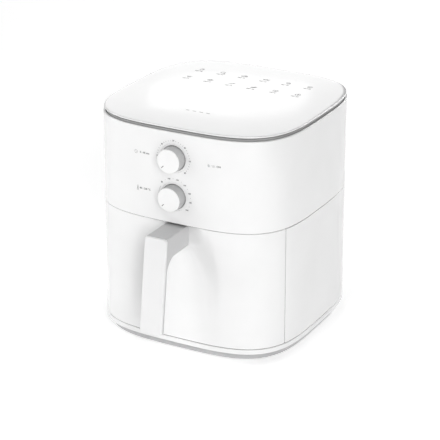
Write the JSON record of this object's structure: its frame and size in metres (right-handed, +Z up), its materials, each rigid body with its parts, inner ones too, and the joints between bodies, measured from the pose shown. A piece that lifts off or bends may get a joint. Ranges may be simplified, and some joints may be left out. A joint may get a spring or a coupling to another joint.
{
  "type": "air fryer",
  "caption": "Rounded-square basket air fryer with two front dials, a domed lid plate and a pull-out drawer that carries a pan and a slotted crisper tray.",
  "frame": {"origin": "on the table top, under the middle of the whole length from the grip's foot to the cord gland, on the plane that halves the body left to right", "axes": "+Z up, +Y towards the rear with the drawer and its handle facing -Y, +X towards the right as seen from the front"},
  "size_m": [0.2744, 0.3442, 0.3011],
  "materials": {
    "white_gloss": "polished white ABS",
    "white_satin": "semi-gloss white moulded plastic",
    "trim_grey": "grey moulded trim",
    "grey_plastic": "mid-grey moulded plastic",
    "dark_plastic": "black heat-proof plastic",
    "dark_coat": "charcoal non-stick coating on pressed steel",
    "grey_rubber": "dark grey silicone rubber",
    "steel": "pressed and turned steel",
    "heater_sheath": "dark annealed element sheath",
    "brass": "turned brass",
    "lens_clear": "clear moulded lens",
    "lamp_amber": "amber neon lamp cover"
  },
  "bodies": {
    "body": {"top_cover": "white_gloss", "top_trim_ring": "trim_grey", "upper_housing": "white_satin", "lower_housing": "white_satin", "base_band": "white_satin", "base_plate": "grey_plastic", "foot_front_left": "grey_rubber", "foot_front_right": "grey_rubber", "foot_rear_left": "grey_rubber", "foot_rear_right": "grey_rubber", "rear_vent_grille": "white_satin", "cord_gland": "grey_rubber", "timer_bezel": "white_satin", "temp_bezel": "white_satin", "control_bracket": "steel", "timer_case": "steel", "timer_bell": "brass", "thermostat_case": "dark_plastic", "thermostat_probe": "steel", "indicator_lens": "lens_clear", "indicator_lamp": "lamp_amber", "switch_case": "dark_plastic", "terminal_block": "dark_plastic", "thermal_fuse": "dark_plastic", "cooking_chamber": "steel", "chamber_top": "steel", "slide_rail_left": "steel", "slide_rail_right": "steel", "heat_reflector": "steel", "exhaust_duct": "dark_plastic", "heater_coil": "heater_sheath", "heater_guard": "steel", "motor_deck": "steel", "motor_can": "steel", "lower_bearing": "brass", "upper_bearing": "brass"},
    "timer_dial": {"timer_knob": "white_satin", "timer_shaft": "steel"},
    "temp_dial": {"temp_knob": "white_satin", "temp_shaft": "steel"},
    "fan_rotor": {"motor_shaft": "steel", "fan_nut": "steel", "hot_air_fan": "steel", "cooling_fan": "dark_plastic"},
    "drawer": {"drawer_front": "white_satin", "drawer_liner": "grey_plastic", "pan": "dark_coat", "handle_core": "white_satin", "handle_cover": "white_satin", "handle_screw_left": "steel", "handle_screw_right": "steel"},
    "tray": {"crisper_tray": "dark_coat", "tray_bumper_front": "grey_rubber", "tray_bumper_rear": "grey_rubber", "tray_bumper_left": "grey_rubber", "tray_bumper_right": "grey_rubber"},
    "plunger": {"switch_plunger": "grey_plastic"}
  },
  "joints": [
    {"name": "timer_turn", "type": "hinge", "parent": "body", "child": "timer_dial", "pos_m": [0, -0.10997, 0.2597], "axis": [0, 1, 0], "range_deg": [0, 270]},
    {"name": "temp_turn", "type": "hinge", "parent": "body", "child": "temp_dial", "pos_m": [0, -0.11019, 0.2097], "axis": [0, 1, 0], "range_deg": [0, 258]},
    {"name": "fan_spin", "type": "hinge", "parent": "body", "child": "fan_rotor", "pos_m": [0, 0.02618, 0.2166], "axis": [0, 0, 1], "continuous": true},
    {"name": "drawer_slide", "type": "slide", "parent": "body", "child": "drawer", "axis": [0, -1, 0], "range_m": [0, 0.205]},
    {"name": "tray_lift", "type": "slide", "parent": "drawer", "child": "tray", "axis": [0, 0, 1], "range_m": [0, 0.1]},
    {"name": "switch_press", "type": "slide", "parent": "body", "child": "plunger", "axis": [0, 1, 0], "range_m": [0, 0.0025], "stiffness_N_per_m": 300}
  ]
}
